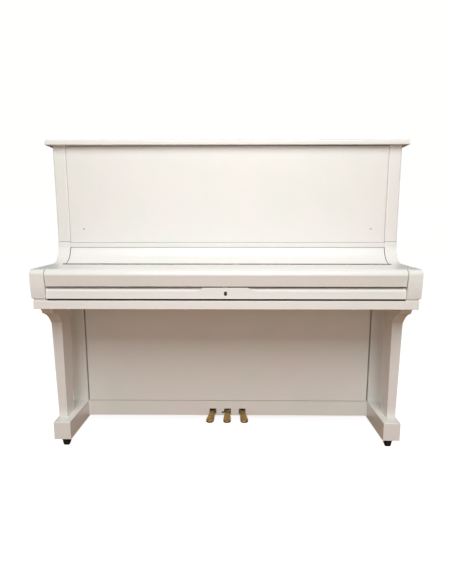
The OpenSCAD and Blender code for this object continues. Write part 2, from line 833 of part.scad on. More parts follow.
// ---- pedals and trapwork ----
arm_w = 20;
axle = 4;
pedal_t = 12;
module pedal(i) {
  x = pedal_x(i);
  tip = (i - 1) * pedal_pitch;
  r = pedal_w / 2;
  tip_y = pivot_y - pedal_reach + r;
  slant = (tip - x) / (low_y - 6 - tip_y - r);
  color("goldenrod")
    difference() {
      translate([0, 0, pivot_z - pedal_t / 2])
        linear_extrude(pedal_t)
          polygon(concat(
            [[x - arm_w / 2, row[2] + 9], [x - arm_w / 2, low_y - 6]],
            bow([x - arm_w / 2, low_y - 8], [tip - r, tip_y], 3 + 4 * slant, 5),
            arc([tip, tip_y], r, 180, 360, 16),
            bow([tip + r, tip_y], [x + arm_w / 2, low_y - 8], 3 - 4 * slant, 5),
            [[x + arm_w / 2, low_y - 6], [x + arm_w / 2, row[2] + 9]]));
      bar_x(x, pivot_y, pivot_z, axle + 0.08, arm_w + 2);
    }
}
module pedal_left() { pedal(0); }
module pedal_middle() { pedal(1); }
module pedal_right() { pedal(2); }

lever_z = board_z + board_t + 8;
lever_h = 22;
lever_w = 14;
prop_tip_r = 1.5;                        // narrow, so a pressed pedal's slope clears it
fulcrum_x = 520;
rod_x = [for (i = [0:2]) -wall_w + 60 - 18 * i];
// Hangers of the pedals under the bottom board, and posts of the trap levers on it.
module pedal_bracket() {
  cheek = 4;
  color("gray") {
    for (i = [0:2], s = [-1, 1])
      difference() {
        block([pedal_x(i) + s * (arm_w / 2 + 3) - cheek / 2, pivot_y - 12, pivot_z - 10],
          [pedal_x(i) + s * (arm_w / 2 + 3) + cheek / 2, pivot_y + 12, board_z]);
        bar_x(pedal_x(i), pivot_y, pivot_z, axle, arm_w + 20);
      }
    for (i = [0:2])
      bar_x(pedal_x(i), pivot_y, pivot_z, axle, arm_w + 14);
    difference() {
      for (y = [row[0] - 11, row[1] - 11, row[2] - 11, row[2] + 11])
        block([fulcrum_x - 12, y - 2, board_z + board_t], [fulcrum_x + 12, y + 2, lever_z + 18]);
      bar_y(fulcrum_x, row[0] - 20, lever_z + 11, 3, 100);
    }
    bar_y(fulcrum_x, row[0] - 16, lever_z + 11, 3, row[2] - row[0] + 32);
  }
}

// Trap lever: pivots at its treble end, rests on its pedal and lifts its rod.
module trap(i) {
  color("burlywood")
    difference() {
      union() {
        block([rod_x[i] - 9, row[i] - lever_w / 2, lever_z],
          [fulcrum_x + 14, row[i] + lever_w / 2, lever_z + lever_h]);
        translate([pedal_x(i), row[i], pivot_z + pedal_t / 2 + gap])
          cylinder(r1 = prop_tip_r, r2 = 5, h = lever_z - pivot_z - pedal_t / 2 - gap);
      }
      bar_y(fulcrum_x, row[i] - 20, lever_z + 11, 3.08, 40);
    }
}
module trap_left() { trap(0); }
module trap_middle() { trap(1); }
module trap_right() { trap(2); }

module rod(i) {
  color("burlywood")
    translate([rod_x[i], row[i], lever_z + lever_h + gap])
      cylinder(r = rod_r, h = bed_top + 89 - lever_z - lever_h);
}
module rod_left() { rod(0); }
module rod_middle() { rod(1); }
module rod_right() { rod(2); }

side_left();
side_right();
arm_left();
arm_right();
lid_rear();
lid_front();
lid_hinge();
lid_hinge_leaf();
upper_panel();
panel_ledge();
cove_rail();
fallboard();
fallboard_hinge();
fallboard_hinge_leaf();
key_slip();
lock_plug();
lock_bolt();
key_bed();
leg_left();
leg_right();
toe_left();
toe_right();
lower_panel();
kick_rail();
bottom_board();
back_frame();
soundboard();
iron_plate();
tuning_pins();
strings_bass();
strings_treble();
key_frame();
white_keys();
black_keys();
middle_c_key();
wippens();
middle_c_wippen();
hammers();
middle_c_hammer();
action_frame();
hammer_rail();
dampers();
muffler_rail();
pedal_left();
pedal_middle();
pedal_right();
pedal_bracket();
trap_left();
trap_middle();
trap_right();
rod_left();
rod_middle();
rod_right();
caster_left();
caster_right();
wheel_left();
wheel_right();
rear_casters();
rear_wheel_left();
rear_wheel_right();
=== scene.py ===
"""Upright piano in cream polish: camera, light, finishes and the finer pieces.

Metres throughout, in the part's frame: +X to the treble end, -Y to the player, +Z up,
with the origin on the floor under the middle of the piano.
"""
import json
import math

import bmesh
import bpy
from mathutils import Euler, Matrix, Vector


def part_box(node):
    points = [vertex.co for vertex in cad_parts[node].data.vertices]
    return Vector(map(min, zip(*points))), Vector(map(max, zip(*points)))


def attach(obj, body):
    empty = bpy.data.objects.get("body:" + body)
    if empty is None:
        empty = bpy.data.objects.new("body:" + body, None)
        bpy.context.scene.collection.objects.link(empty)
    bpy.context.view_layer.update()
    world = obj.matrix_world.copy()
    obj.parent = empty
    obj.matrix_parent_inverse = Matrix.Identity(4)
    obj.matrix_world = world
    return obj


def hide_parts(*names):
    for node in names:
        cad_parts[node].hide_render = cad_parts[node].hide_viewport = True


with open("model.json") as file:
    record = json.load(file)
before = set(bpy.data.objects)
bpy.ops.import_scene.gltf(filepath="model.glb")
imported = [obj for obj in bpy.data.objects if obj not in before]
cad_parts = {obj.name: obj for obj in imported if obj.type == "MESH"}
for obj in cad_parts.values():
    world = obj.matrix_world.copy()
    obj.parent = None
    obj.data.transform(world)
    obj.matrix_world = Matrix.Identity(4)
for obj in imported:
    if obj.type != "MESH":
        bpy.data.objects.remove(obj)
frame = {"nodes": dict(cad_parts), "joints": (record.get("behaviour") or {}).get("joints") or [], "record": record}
NODES = frame["nodes"]
SLOT = {s["node"]: s["material_slot"] for s in frame["record"]["subparts"]}
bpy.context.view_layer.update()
JOINT = {j["name"]: j for j in frame["joints"]}
MM = 0.001

# ---------------------------------------------------------------- camera and light

PICTURE = (452, 584)
FOCAL_PX = 430.0
CAMERA_AT = (0.0394, -1.9228, 0.9474)
CAMERA_PITCH = 9.152
CAMERA_YAW = 0.565
CENTRE_PX = (231.7, 296.5)              # where the lens axis meets the picture
SENSOR = 36.0
ROOM_STRENGTH = 0.15                    # light from the room, without the soft boxes
SOFT_BOXES = (                          # name, place, aim, side in metres, watts
    ("key_light", (0.1, -2.5, 3.15), (0, 0, 0.6), 2.3, 112),
    ("front_fill", (0.0, -3.5, 0.6), (0, 0, 0.45), 2.8, 26),
)


def set_camera():
    """A camera fitted to the corners of the lid, case, key bed and toes."""
    data = bpy.data.cameras.new("camera")
    data.sensor_width = SENSOR
    data.lens = FOCAL_PX * SENSOR / PICTURE[1]
    data.shift_x = -(CENTRE_PX[0] - PICTURE[0] / 2) / PICTURE[1]
    data.shift_y = (CENTRE_PX[1] - PICTURE[1] / 2) / PICTURE[1]
    camera = bpy.data.objects.new("camera", data)
    camera.location = CAMERA_AT
    camera.rotation_euler = Euler(
        (math.radians(90 - CAMERA_PITCH), 0, math.radians(CAMERA_YAW)))
    bpy.context.collection.objects.link(camera)
    bpy.context.scene.camera = camera


def soft_box(name, at, aim, size, power):
    """A square soft light at a place, turned to face another."""
    data = bpy.data.lights.new(name, "AREA")
    data.shape = "SQUARE"
    data.size = size
    data.energy = power
    light = bpy.data.objects.new(name, data)
    light.location = at
    light.rotation_euler = (Vector(aim) - Vector(at)).to_track_quat("-Z", "Y").to_euler()
    bpy.context.collection.objects.link(light)


def set_light():
    """A soft box high in front, a broad weak one low in front, and a dim room."""
    bpy.context.scene.view_settings.view_transform = "Standard"
    world = bpy.data.worlds.new("studio")
    bpy.context.scene.world = world
    world.use_nodes = True
    room = world.node_tree.nodes["Background"].inputs
    room["Color"].default_value = srgb("fdf8f2")
    room["Strength"].default_value = ROOM_STRENGTH
    for name, at, aim, size, power in SOFT_BOXES:
        soft_box(name, at, aim, size, power)


# ---------------------------------------------------------------- materials

def srgb(text):
    """A colour such as "f2ece0" as linear red, green, blue and alpha."""
    parts = [int(text[i:i + 2], 16) / 255 for i in (0, 2, 4)]
    return [v / 12.92 if v <= 0.04045 else ((v + 0.055) / 1.055) ** 2.4 for v in parts] + [1.0]


def add(tree, kind, inputs=(), **settings):
    """Adds a node, sets it up, and fills its inputs with values or links."""
    node = tree.nodes.new(kind)
    for name, value in settings.items():
        setattr(node, name, value)
    for name, value in dict(inputs).items():
        if isinstance(value, bpy.types.NodeSocket):
            tree.links.new(value, node.inputs[name])
        else:
            node.inputs[name].default_value = value
    return node


def start(name, **shader_values):
    """A new material with its shader, ready for patterns: (material, tree, shader, place)."""
    material = bpy.data.materials.new(name)
    material.use_nodes = True
    tree = material.node_tree
    tree.nodes.clear()
    shader = add(tree, "ShaderNodeBsdfPrincipled",
                 {k.replace("_", " "): v for k, v in shader_values.items()})
    add(tree, "ShaderNodeOutputMaterial", {"Surface": shader.outputs[0]})
    place = add(tree, "ShaderNodeTexCoord").outputs["Object"]
    return material, tree, shader, place


def ramp(tree, factor, *stops):
    """Colours blended along a factor: each stop is (position, "hex")."""
    node = add(tree, "ShaderNodeValToRGB", {"Fac": factor})
    while len(node.color_ramp.elements) < len(stops):
        node.color_ramp.elements.new(0.5)
    for element, (position, colour) in zip(node.color_ramp.elements, stops):
        element.position = position
        element.color = srgb(colour)
    return node.outputs["Color"]


def spread(tree, factor, low, high):
    """A 0 to 1 factor spread over another range."""
    return add(tree, "ShaderNodeMapRange",
               {"Value": factor, "To Min": low, "To Max": high}).outputs["Result"]


def bumpy(tree, shader, height, strength, depth):
    """Gives a shader a relief that follows a pattern, with its depth in metres."""
    bump = add(tree, "ShaderNodeBump",
               {"Height": height, "Strength": strength, "Distance": depth})
    tree.links.new(bump.outputs[0], shader.inputs["Normal"])


def grain(tree, place, lengthways, scale, detail=4.0):
    """Noise drawn out along one axis: "X", "Y" or "Z". Scale is in cycles a metre across."""
    stretch = [scale * (0.06 if axis == lengthways else 1.0) for axis in "XYZ"]
    turned = add(tree, "ShaderNodeMapping", {"Vector": place, "Scale": stretch})
    return add(tree, "ShaderNodeTexNoise",
               {"Vector": turned.outputs[0], "Scale": 1.0, "Detail": detail, "Roughness": 0.6})


def polyester_lacquer():
    """Polyester lacquer, sprayed and buffed: a deep even gloss with a faint orange peel
    and slow, cloudy shifts of tone where the buffing went thinner."""
    material, tree, shader, place = start(
        "polyester_lacquer", Roughness=0.36, IOR=1.5, Coat_Weight=0.25, Coat_Roughness=0.24)
    cloud = add(tree, "ShaderNodeTexNoise",
                {"Vector": place, "Scale": 5.0, "Detail": 3.0, "Roughness": 0.5})
    tree.links.new(ramp(tree, cloud.outputs["Fac"], (0.32, "ebe7e4"), (0.5, "eae9e4"),
                        (0.68, "e6e8e2")), shader.inputs["Base Color"])
    haze = add(tree, "ShaderNodeTexNoise", {"Vector": place, "Scale": 22.0, "Detail": 5.0})
    tree.links.new(spread(tree, haze.outputs["Fac"], 0.3, 0.42), shader.inputs["Roughness"])
    peel = add(tree, "ShaderNodeTexNoise", {"Vector": place, "Scale": 350.0, "Detail": 1.0})
    bumpy(tree, shader, peel.outputs["Fac"], 0.12, 0.02 * MM)
    return material


def bare_beech():
    """Planed and sanded timber: long fibres, short dark flecks, no film of finish."""
    material, tree, shader, place = start("bare_beech", Roughness=0.6, IOR=1.5)
    fibres = grain(tree, place, "X", 260.0)
    bands = grain(tree, place, "X", 34.0, 2.0)
    flecks = add(tree, "ShaderNodeMath", {0: fibres.outputs["Fac"], 1: bands.outputs["Fac"]},
                 operation="MULTIPLY")
    tree.links.new(ramp(tree, flecks.outputs[0], (0.12, "b98f5d"), (0.36, "d9b98c")),
                   shader.inputs["Base Color"])
    tree.links.new(spread(tree, fibres.outputs["Fac"], 0.5, 0.75), shader.inputs["Roughness"])
    bumpy(tree, shader, fibres.outputs["Fac"], 0.3, 0.1 * MM)
    return material


SPRUCE_GRAIN = 38                       # degrees that the soundboard's grain slopes


def spruce_soundboard():
    """Quarter-sawn spruce under a thin varnish: straight, close grain lines and a low shine."""
    material, tree, shader, place = start(
        "spruce_soundboard", Roughness=0.4, IOR=1.5, Coat_Weight=0.3, Coat_Roughness=0.25)
    turned = add(tree, "ShaderNodeMapping",
                 {"Vector": place, "Rotation": (0, math.radians(SPRUCE_GRAIN), 0)})
    lines = add(tree, "ShaderNodeTexWave", {
        "Vector": turned.outputs[0], "Scale": 26.0, "Distortion": 1.5, "Detail": 2.0,
        "Detail Scale": 0.6}, wave_type="BANDS", bands_direction="Z")
    tree.links.new(ramp(tree, lines.outputs["Fac"], (0.0, "b98a4e"), (0.6, "d6ab6c")),
                   shader.inputs["Base Color"])
    return material


def cast_brass():
    """Brass, polished and then handled: bright on the crowns, browner where it tarnishes."""
    material, tree, shader, place = start("cast_brass", Metallic=1.0, Roughness=0.28)
    tarnish = add(tree, "ShaderNodeTexNoise", {"Vector": place, "Scale": 60.0, "Detail": 6.0})
    tree.links.new(ramp(tree, tarnish.outputs["Fac"], (0.32, "8a6d3a"), (0.66, "c4a263")),
                   shader.inputs["Base Color"])
    tree.links.new(spread(tree, tarnish.outputs["Fac"], 0.2, 0.42), shader.inputs["Roughness"])
    return material


def hinge_brass_with_painted_shade():
    """Rolled brass strip, brown with tarnish in its lacquer and darkened nearly to black as
    painted shade of the gap along its knuckles, with bright specks a few millimetres long."""
    material, tree, shader, place = start("hinge_brass_with_painted_shade", Metallic=0.8, Roughness=0.5)
    tarnish_and_shade = add(tree, "ShaderNodeTexNoise", {"Vector": place, "Scale": 120.0, "Detail": 4.0})
    # near-black brown: tarnish plus painted shade of the hinge line
    tree.links.new(ramp(tree, tarnish_and_shade.outputs["Fac"], (0.5, "2c2419"), (0.62, "9b7a45")),
                   shader.inputs["Base Color"])
    return material


def gilt_cast_iron():
    """Grey iron, sand-cast and sprayed with bronze lacquer: a grainy skin with a dull gold."""
    material, tree, shader, place = start(
        "gilt_cast_iron", Metallic=0.65, Roughness=0.42, Coat_Weight=0.3, Coat_Roughness=0.2)
    flake = add(tree, "ShaderNodeTexNoise", {"Vector": place, "Scale": 420.0, "Detail": 2.0})
    tree.links.new(ramp(tree, flake.outputs["Fac"], (0.3, "8f6b33"), (0.7, "b58f4f")),
                   shader.inputs["Base Color"])
    bumpy(tree, shader, flake.outputs["Fac"], 0.35, 0.2 * MM)
    return material


def turned_steel(name, colour, roughness):
    """Drawn or turned steel: fine lines run round it, so its shine is a little broken up."""
    material, tree, shader, place = start(name, Metallic=1.0, Roughness=roughness)
    lines = add(tree, "ShaderNodeTexNoise", {"Vector": place, "Scale": 900.0, "Detail": 2.0})
    tree.links.new(ramp(tree, lines.outputs["Fac"], (0.2, colour[0]), (0.8, colour[1])),
                   shader.inputs["Base Color"])
    tree.links.new(spread(tree, lines.outputs["Fac"], roughness - 0.08, roughness + 0.1),
                   shader.inputs["Roughness"])
    return material


def japanned_steel():
    """Pressed steel in black stoving enamel: smooth, dark, with a soft scuffed shine."""
    material, tree, shader, place = start(
        "japanned_steel", Roughness=0.35, IOR=1.5, Coat_Weight=0.4, Coat_Roughness=0.15)
    scuff = add(tree, "ShaderNodeTexNoise", {"Vector": place, "Scale": 140.0, "Detail": 6.0})
    tree.links.new(ramp(tree, scuff.outputs["Fac"], (0.45, "111112"), (0.75, "26262a")),
                   shader.inputs["Base Color"])
    tree.links.new(spread(tree, scuff.outputs["Fac"], 0.25, 0.5), shader.inputs["Roughness"])
    return material


def caster_rubber():
    """Hard moulded rubber: black, dusty grey where it has rolled."""
    material, tree, shader, place = start("caster_rubber", Roughness=0.6, IOR=1.5)
    dust = add(tree, "ShaderNodeTexNoise", {"Vector": place, "Scale": 90.0, "Detail": 5.0})
    tree.links.new(ramp(tree, dust.outputs["Fac"], (0.4, "151515"), (0.8, "34322f")),
                   shader.inputs["Base Color"])
    bumpy(tree, shader, dust.outputs["Fac"], 0.2, 0.2 * MM)
    return material


def key_top(name, cover, core, level):
    """A key stick of sugar pine with a moulded acrylic cover on its upper part: glossy and
    even above the given height, pale timber below it."""
    material, tree, shader, place = start(name, Roughness=0.3, IOR=1.49)
    height = add(tree, "ShaderNodeSeparateXYZ", {"Vector": place}).outputs["Z"]
    above = add(tree, "ShaderNodeMath", {0: height, 1: level}, operation="GREATER_THAN")
    fibres = grain(tree, place, "Y", 240.0)
    timber = ramp(tree, fibres.outputs["Fac"], (0.35, core[0]), (0.65, core[1]))
    clouds = add(tree, "ShaderNodeTexNoise", {"Vector": place, "Scale": 30.0, "Detail": 2.0})
    acrylic = ramp(tree, clouds.outputs["Fac"], (0.3, cover[0]), (0.7, cover[1]))
    colour = add(tree, "ShaderNodeMix", {0: above.outputs[0], 6: timber, 7: acrylic},
                 data_type="RGBA")
    tree.links.new(colour.outputs[2], shader.inputs["Base Color"])
    tree.links.new(spread(tree, above.outputs[0], 0.6, 0.14), shader.inputs["Roughness"])
    return material


def inside(tree, axis_value, low, high):
    """1 where a coordinate is between two values, and 0 elsewhere."""
    above = add(tree, "ShaderNodeMath", {0: axis_value, 1: low}, operation="GREATER_THAN")
    below = add(tree, "ShaderNodeMath", {0: axis_value, 1: high}, operation="LESS_THAN")
    both = add(tree, "ShaderNodeMath", {0: above.outputs[0], 1: below.outputs[0]},
               operation="MULTIPLY")
    return both.outputs[0]


def mixed(tree, factor, first, second):
    """The second colour where the factor is 1, and the first where it is 0."""
    node = add(tree, "ShaderNodeMix", {0: factor, 6: first, 7: second}, data_type="RGBA")
    return node.outputs[2]


def hammer_wood_and_felt(lean, pivot, felt_from, head_from):
    """Hornbeam moulding, maple shank and a nose of pressed wool felt over a red underfelt.
    The pattern stands upright on the hammer's pivot, which the hammer leans on."""
    material, tree, shader, place = start("hammer_wood_and_felt", Roughness=0.7, IOR=1.48)
    turn = Euler((-lean, 0, 0)).to_matrix()
    upright = add(tree, "ShaderNodeMapping", {
        "Vector": place, "Rotation": (-lean, 0, 0), "Location": turn @ -Vector(pivot)})
    axes = add(tree, "ShaderNodeSeparateXYZ", {"Vector": upright.outputs[0]}).outputs
    head = inside(tree, axes["Z"], head_from, 1.0)
    nose = inside(tree, axes["Y"], felt_from, 1.0)
    under = inside(tree, axes["Y"], felt_from, felt_from + 4 * MM)
    fibres = grain(tree, upright.outputs[0], "Z", 320.0)
    wood = ramp(tree, fibres.outputs["Fac"], (0.3, "b88f5c"), (0.7, "d9b888"))
    fuzz = add(tree, "ShaderNodeTexNoise", {"Vector": place, "Scale": 700.0, "Detail": 4.0})
    wool = ramp(tree, fuzz.outputs["Fac"], (0.3, "d4cdba"), (0.7, "ece7d9"))
    felt = mixed(tree, under, wool, srgb("8c2a2a"))
    is_felt = add(tree, "ShaderNodeMath", {0: head, 1: nose}, operation="MULTIPLY").outputs[0]
    tree.links.new(mixed(tree, is_felt, wood, felt), shader.inputs["Base Color"])
    tree.links.new(spread(tree, is_felt, 0.5, 0.95), shader.inputs["Roughness"])
    bumpy(tree, shader, fuzz.outputs["Fac"], 0.3, 0.3 * MM)
    return material


def damper_wood_and_felt(wire_from, block_from, felt_from):
    """A maple lever, a bright steel wire, and a black-stained block faced with white felt."""
    material, tree, shader, place = start("damper_wood_and_felt", Roughness=0.7, IOR=1.48)
    axes = add(tree, "ShaderNodeSeparateXYZ", {"Vector": place}).outputs
    fibres = grain(tree, place, "Z", 320.0)
    wood = ramp(tree, fibres.outputs["Fac"], (0.3, "b88f5c"), (0.7, "d9b888"))
    fuzz = add(tree, "ShaderNodeTexNoise", {"Vector": place, "Scale": 700.0, "Detail": 4.0})
    wool = ramp(tree, fuzz.outputs["Fac"], (0.3, "d8d2c2"), (0.7, "eeeadf"))
    block = mixed(tree, inside(tree, axes["Y"], felt_from, 1.0), srgb("1c1a18"), wool)
    upper = mixed(tree, inside(tree, axes["Z"], block_from, 2.0), wood, block)
    is_wire = inside(tree, axes["Z"], wire_from, block_from)
    tree.links.new(mixed(tree, is_wire, upper, srgb("b9bcc0")), shader.inputs["Base Color"])
    tree.links.new(is_wire, shader.inputs["Metallic"])
    tree.links.new(spread(tree, is_wire, 0.8, 0.3), shader.inputs["Roughness"])
    return material


def wool_felt(name, pale, dark):
    """Pressed wool felt: matt, with short fibres that lift and catch the light."""
    material, tree, shader, place = start(
        name, Roughness=0.95, IOR=1.45, Sheen_Weight=0.5, Sheen_Roughness=0.5)
    fuzz = add(tree, "ShaderNodeTexNoise", {"Vector": place, "Scale": 700.0, "Detail": 4.0})
    tree.links.new(ramp(tree, fuzz.outputs["Fac"], (0.3, dark), (0.7, pale)),
                   shader.inputs["Base Color"])
    bumpy(tree, shader, fuzz.outputs["Fac"], 0.5, 0.4 * MM)
    return material


HAMMER_LEAN = 19.5                      # degrees forward of upright, at rest
HAMMER_FELT_FROM = 12 * MM              # in front of the hammer's pivot, along its nose
HAMMER_HEAD_FROM = 100 * MM             # above the pivot
DAMPER_WIRE = 66 * MM                   # from a damper's top down to its wire's foot
DAMPER_BLOCK = 36 * MM                  # and down to its block's foot
DAMPER_FELT = 13 * MM                   # thickness of its felt
KEY_SIDE = 6 * MM                       # from the key frame's top down to a black key's cover
KEY_COVER = 3 * MM                      # that much lower for a white key's
SUGAR_PINE = ("c9a877", "dec193")
OTHER_FINISH = {
    "fallboard_hinge": "hinge", "fallboard_hinge_leaf": "hinge",
    "lid_hinge": "hinge", "lid_hinge_leaf": "hinge",
    "hammers": "hammer", "middle_c_hammer": "hammer", "dampers": "damper",
}


def make_materials():
    key_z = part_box("key_frame")[1].z - KEY_SIDE
    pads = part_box("dampers")[1]
    return {
        "cream_polish": polyester_lacquer(),
        "plain_wood": bare_beech(),
        "spruce": spruce_soundboard(),
        "brass": cast_brass(),
        "gilt_iron": gilt_cast_iron(),
        "black_iron": japanned_steel(),
        "action_metal": turned_steel("action_aluminium", ("9a9c9e", "b4b6b8"), 0.4),
        "pin_steel": turned_steel("blued_pin_steel", ("6d7076", "9a9da3"), 0.3),
        "copper_wire": turned_steel("copper_winding", ("8a4a28", "c07a4c"), 0.35),
        "music_wire": turned_steel("music_wire", ("a9acb0", "cfd2d6"), 0.25),
        "key_white": key_top("acrylic_key_white", ("f4f1e6", "efebdf"), SUGAR_PINE,
                             key_z - KEY_COVER),
        "key_black": key_top("phenolic_key_black", ("0c0c0d", "141415"), SUGAR_PINE, key_z),
        "hinge": hinge_brass_with_painted_shade(),
        "hammer": hammer_wood_and_felt(math.radians(HAMMER_LEAN), JOINT["hammers_throw"]["pos_m"],
                                       HAMMER_FELT_FROM, HAMMER_HEAD_FROM),
        "damper": damper_wood_and_felt(pads.z - DAMPER_WIRE, pads.z - DAMPER_BLOCK,
                                       pads.y - DAMPER_FELT),
        # near-black felt: on the lip and slip cushions its darkness is also painted shade of the gaps; on the
        # joint strips and the lid's rest it paints shade
        "dark_felt_and_painted_shade": wool_felt("dark_felt_and_painted_shade", "33211e", "170f0d"),
        "maroon_felt": wool_felt("maroon_felt", "3f1512", "240a08"),
        # near-black: painted shade for the inside of the keyhole
        "keyhole_shade_black": wool_felt("keyhole_lining_painted_shade", "0c0a09", "040404"),
        "filler": wool_felt("aged_wood_filler", "8f887b", "6b6559"),
        "red_felt": wool_felt("red_felt", "8c1f22", "5e1214"),
        "green_felt": wool_felt("green_felt", "5f7f62", "3f5c45"),
        "caster_black": caster_rubber(),
    }


COMMON_RADIUS = 1.6 * MM                # on the edges of lacquered pieces
EDGE_RADIUS = {"side_left": 5 * MM, "side_right": 5 * MM, "upper_panel": 2.2 * MM}


def dress_nodes(materials):
    """Puts its finish on every CAD node, and a small radius on the edges of the joinery."""
    for name, obj in NODES.items():
        for slot in obj.material_slots:
            slot.material = materials[OTHER_FINISH.get(name, SLOT[name])]
        for face in obj.data.polygons:
            face.use_smooth = False
    for name in SLOT:
        if SLOT[name] == "cream_polish":
            round_edges(NODES[name], EDGE_RADIUS.get(name, COMMON_RADIUS))


def round_edges(obj, width):
    """Joins a node's doubled corners, then rounds its sharp edges."""
    weld = obj.modifiers.new("weld", "WELD")
    weld.merge_threshold = 0.01 * MM
    bevel = obj.modifiers.new("edge_radius", "BEVEL")
    bevel.width = width
    bevel.segments = 3
    bevel.limit_method = "ANGLE"
    bevel.angle_limit = math.radians(40)
    bevel.harden_normals = False


# ---------------------------------------------------------------- new pieces

def put(name, mesh, body, slot, finish=None, *replaced):
    """Closes a mesh and makes it a piece that rides on a body."""
    bmesh.ops.remove_doubles(mesh, verts=mesh.verts, dist=0.01 * MM)
    bmesh.ops.recalc_face_normals(mesh, faces=mesh.faces)
    data = bpy.data.meshes.new(name)
    mesh.to_mesh(data)
    mesh.free()
    data.materials.append(materials[finish or slot])
    piece = bpy.data.objects.new(name, data)
    bpy.context.collection.objects.link(piece)
    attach(piece, body)
    if replaced:
        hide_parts(*replaced)
    return piece


def soften(mesh, edges, width):
    """Rounds edges of a mesh."""
    bmesh.ops.bevel(mesh, geom=edges, offset=width, offset_type="OFFSET", affect="EDGES",
                    segments=3, profile=0.5, material=-1, clamp_overlap=True)


def add_block(mesh, low, high, radius=0.0):
    """A block between two corners with rounded edges, added to a mesh."""
    middle = (Vector(low) + Vector(high)) / 2
    made = bmesh.ops.create_cube(mesh, size=1.0)["verts"]
    bmesh.ops.scale(mesh, verts=made, vec=Vector(high) - Vector(low))
    bmesh.ops.translate(mesh, verts=made, vec=middle)
    if radius:
        soften(mesh, list({edge for vert in made for edge in vert.link_edges}), radius)


def add_turned(mesh, profile, centre, axis, steps):
    """A turned shape: (radius, distance along the axis) points, swept round an axis."""
    along = Vector(axis)
    out = along.orthogonal().normalized()
    made = [mesh.verts.new(Vector(centre) + out * r + along * d) for r, d in profile]
    edges = [mesh.edges.new(pair) for pair in zip(made, made[1:])]
    bmesh.ops.spin(mesh, geom=made + edges, cent=centre, axis=along,
                   angle=math.tau, steps=steps, use_merge=True)


def felt_strip(name, low, high, body, finish=None, radius=0.6 * MM):
    """A strip of felt, or a thin dark strip of painted shade, as one block with round edges."""
    mesh = bmesh.new()
    add_block(mesh, low, high, radius)
    put(name, mesh, body, "red_felt", finish)


SIDES = ("left", "middle", "right")
SLOT_W = 32 * MM                        # pedal slots in the kick rail
SLOT_Z = (62 * MM, 89 * MM)
ARM_HALF = 10 * MM                      # half a pedal arm's width
LINING = 1.5 * MM                       # thickness of a slot's felt
DUST_SHEET = 2 * MM                     # thickness of the felt that closes it round the arm
EASE = 1.2 * MM                         # room round the arm
FELT_EDGE = 0.4 * MM
BOLT_ROOM = 10 * MM                     # half the gap that the lip felt leaves for the bolt


def make_felts():
    """Cushion felts: under the fallboard's lip, under the key slip, along the name board,
    and round the pedal slots. The felts under the lip and the slip are dyed near black, which also paints the
    shade in the gaps there."""
    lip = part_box("fallboard")
    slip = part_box("key_slip")
    half = slip[1].x - 2 * MM
    for side, ends in (("left", (-half, -BOLT_ROOM)), ("right", (BOLT_ROOM, half))):
        # cushion felt, near black so that it also paints the shade in the gap under the lip
        felt_strip(f"lip_felt_and_shade_{side}", (ends[0], slip[0].y + 1 * MM, lip[0].z - 2.7 * MM),
                   (ends[1], slip[0].y + 15 * MM, lip[0].z), "fallboard", "dark_felt_and_painted_shade")
    bed_top = slip[0].z
    # cushion felt, near black so that it also paints the shade in the gap under the key slip
    felt_strip("key_slip_cushion_and_shade", (-half, slip[0].y + 4 * MM, bed_top),
               (half, slip[0].y + 7.8 * MM, bed_top + 7 * MM), "case", "dark_felt_and_painted_shade")
    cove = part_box("cove_rail")
    felt_strip("name_board_felt", (-half, cove[0].y + 3 * MM, cove[0].z - 3 * MM),
               (half, cove[0].y + 12 * MM, cove[0].z), "case")
    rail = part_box("kick_rail")
    for side in SIDES:
        make_slot_felt(side, rail[0].y + 1 * MM, rail[1].y - 0.5 * MM)


def make_slot_felt(side, face, back):
    """Maroon felt that lines a pedal slot, and closes it round the arm against dust."""
    slot_x = JOINT[f"pedal_{side}_press"]["pos_m"][0]
    arm_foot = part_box(f"pedal_{side}")[0].z
    left = slot_x - SLOT_W / 2
    right = slot_x + SLOT_W / 2
    bottom, top = SLOT_Z
    sheet = back - DUST_SHEET
    notch = side == "middle"                    # this slot has a side notch for locking
    blocks = [((left, face, top - LINING), (right, back, top)),
              ((right - LINING, face, bottom), (right, back, top))]
    if not notch:
        blocks.append(((left, face, bottom), (left + LINING, back, top)))
    blocks += [((left, sheet, arm_foot + 12 * MM + 2 * EASE), (right, back, top)),
               ((slot_x + ARM_HALF + EASE, sheet, bottom), (right, back, top)),
               ((left, sheet, bottom), (slot_x - ARM_HALF - EASE, back, top)),
               ((left, sheet, bottom), (right, back, arm_foot - 3 * EASE))]
    if notch:
        blocks.append(((left - 11 * MM, sheet - 6 * MM, bottom + 0.5 * MM),
                       (left + 1 * MM, back, bottom + 12 * MM)))
    mesh = bmesh.new()
    for low, high in blocks:
        add_block(mesh, low, high, FELT_EDGE)
    put(f"slot_felt_{side}", mesh, "case", "red_felt", "maroon_felt")


TIP_PITCH = 79 * MM                     # between neighbouring pedal tips
TIP_R = 17.5 * MM                       # round nose of a pedal
NECK_R = 12.5 * MM                      # half its width at the rail
NOSE_STEPS = 12
WIDEN_STEPS = 7


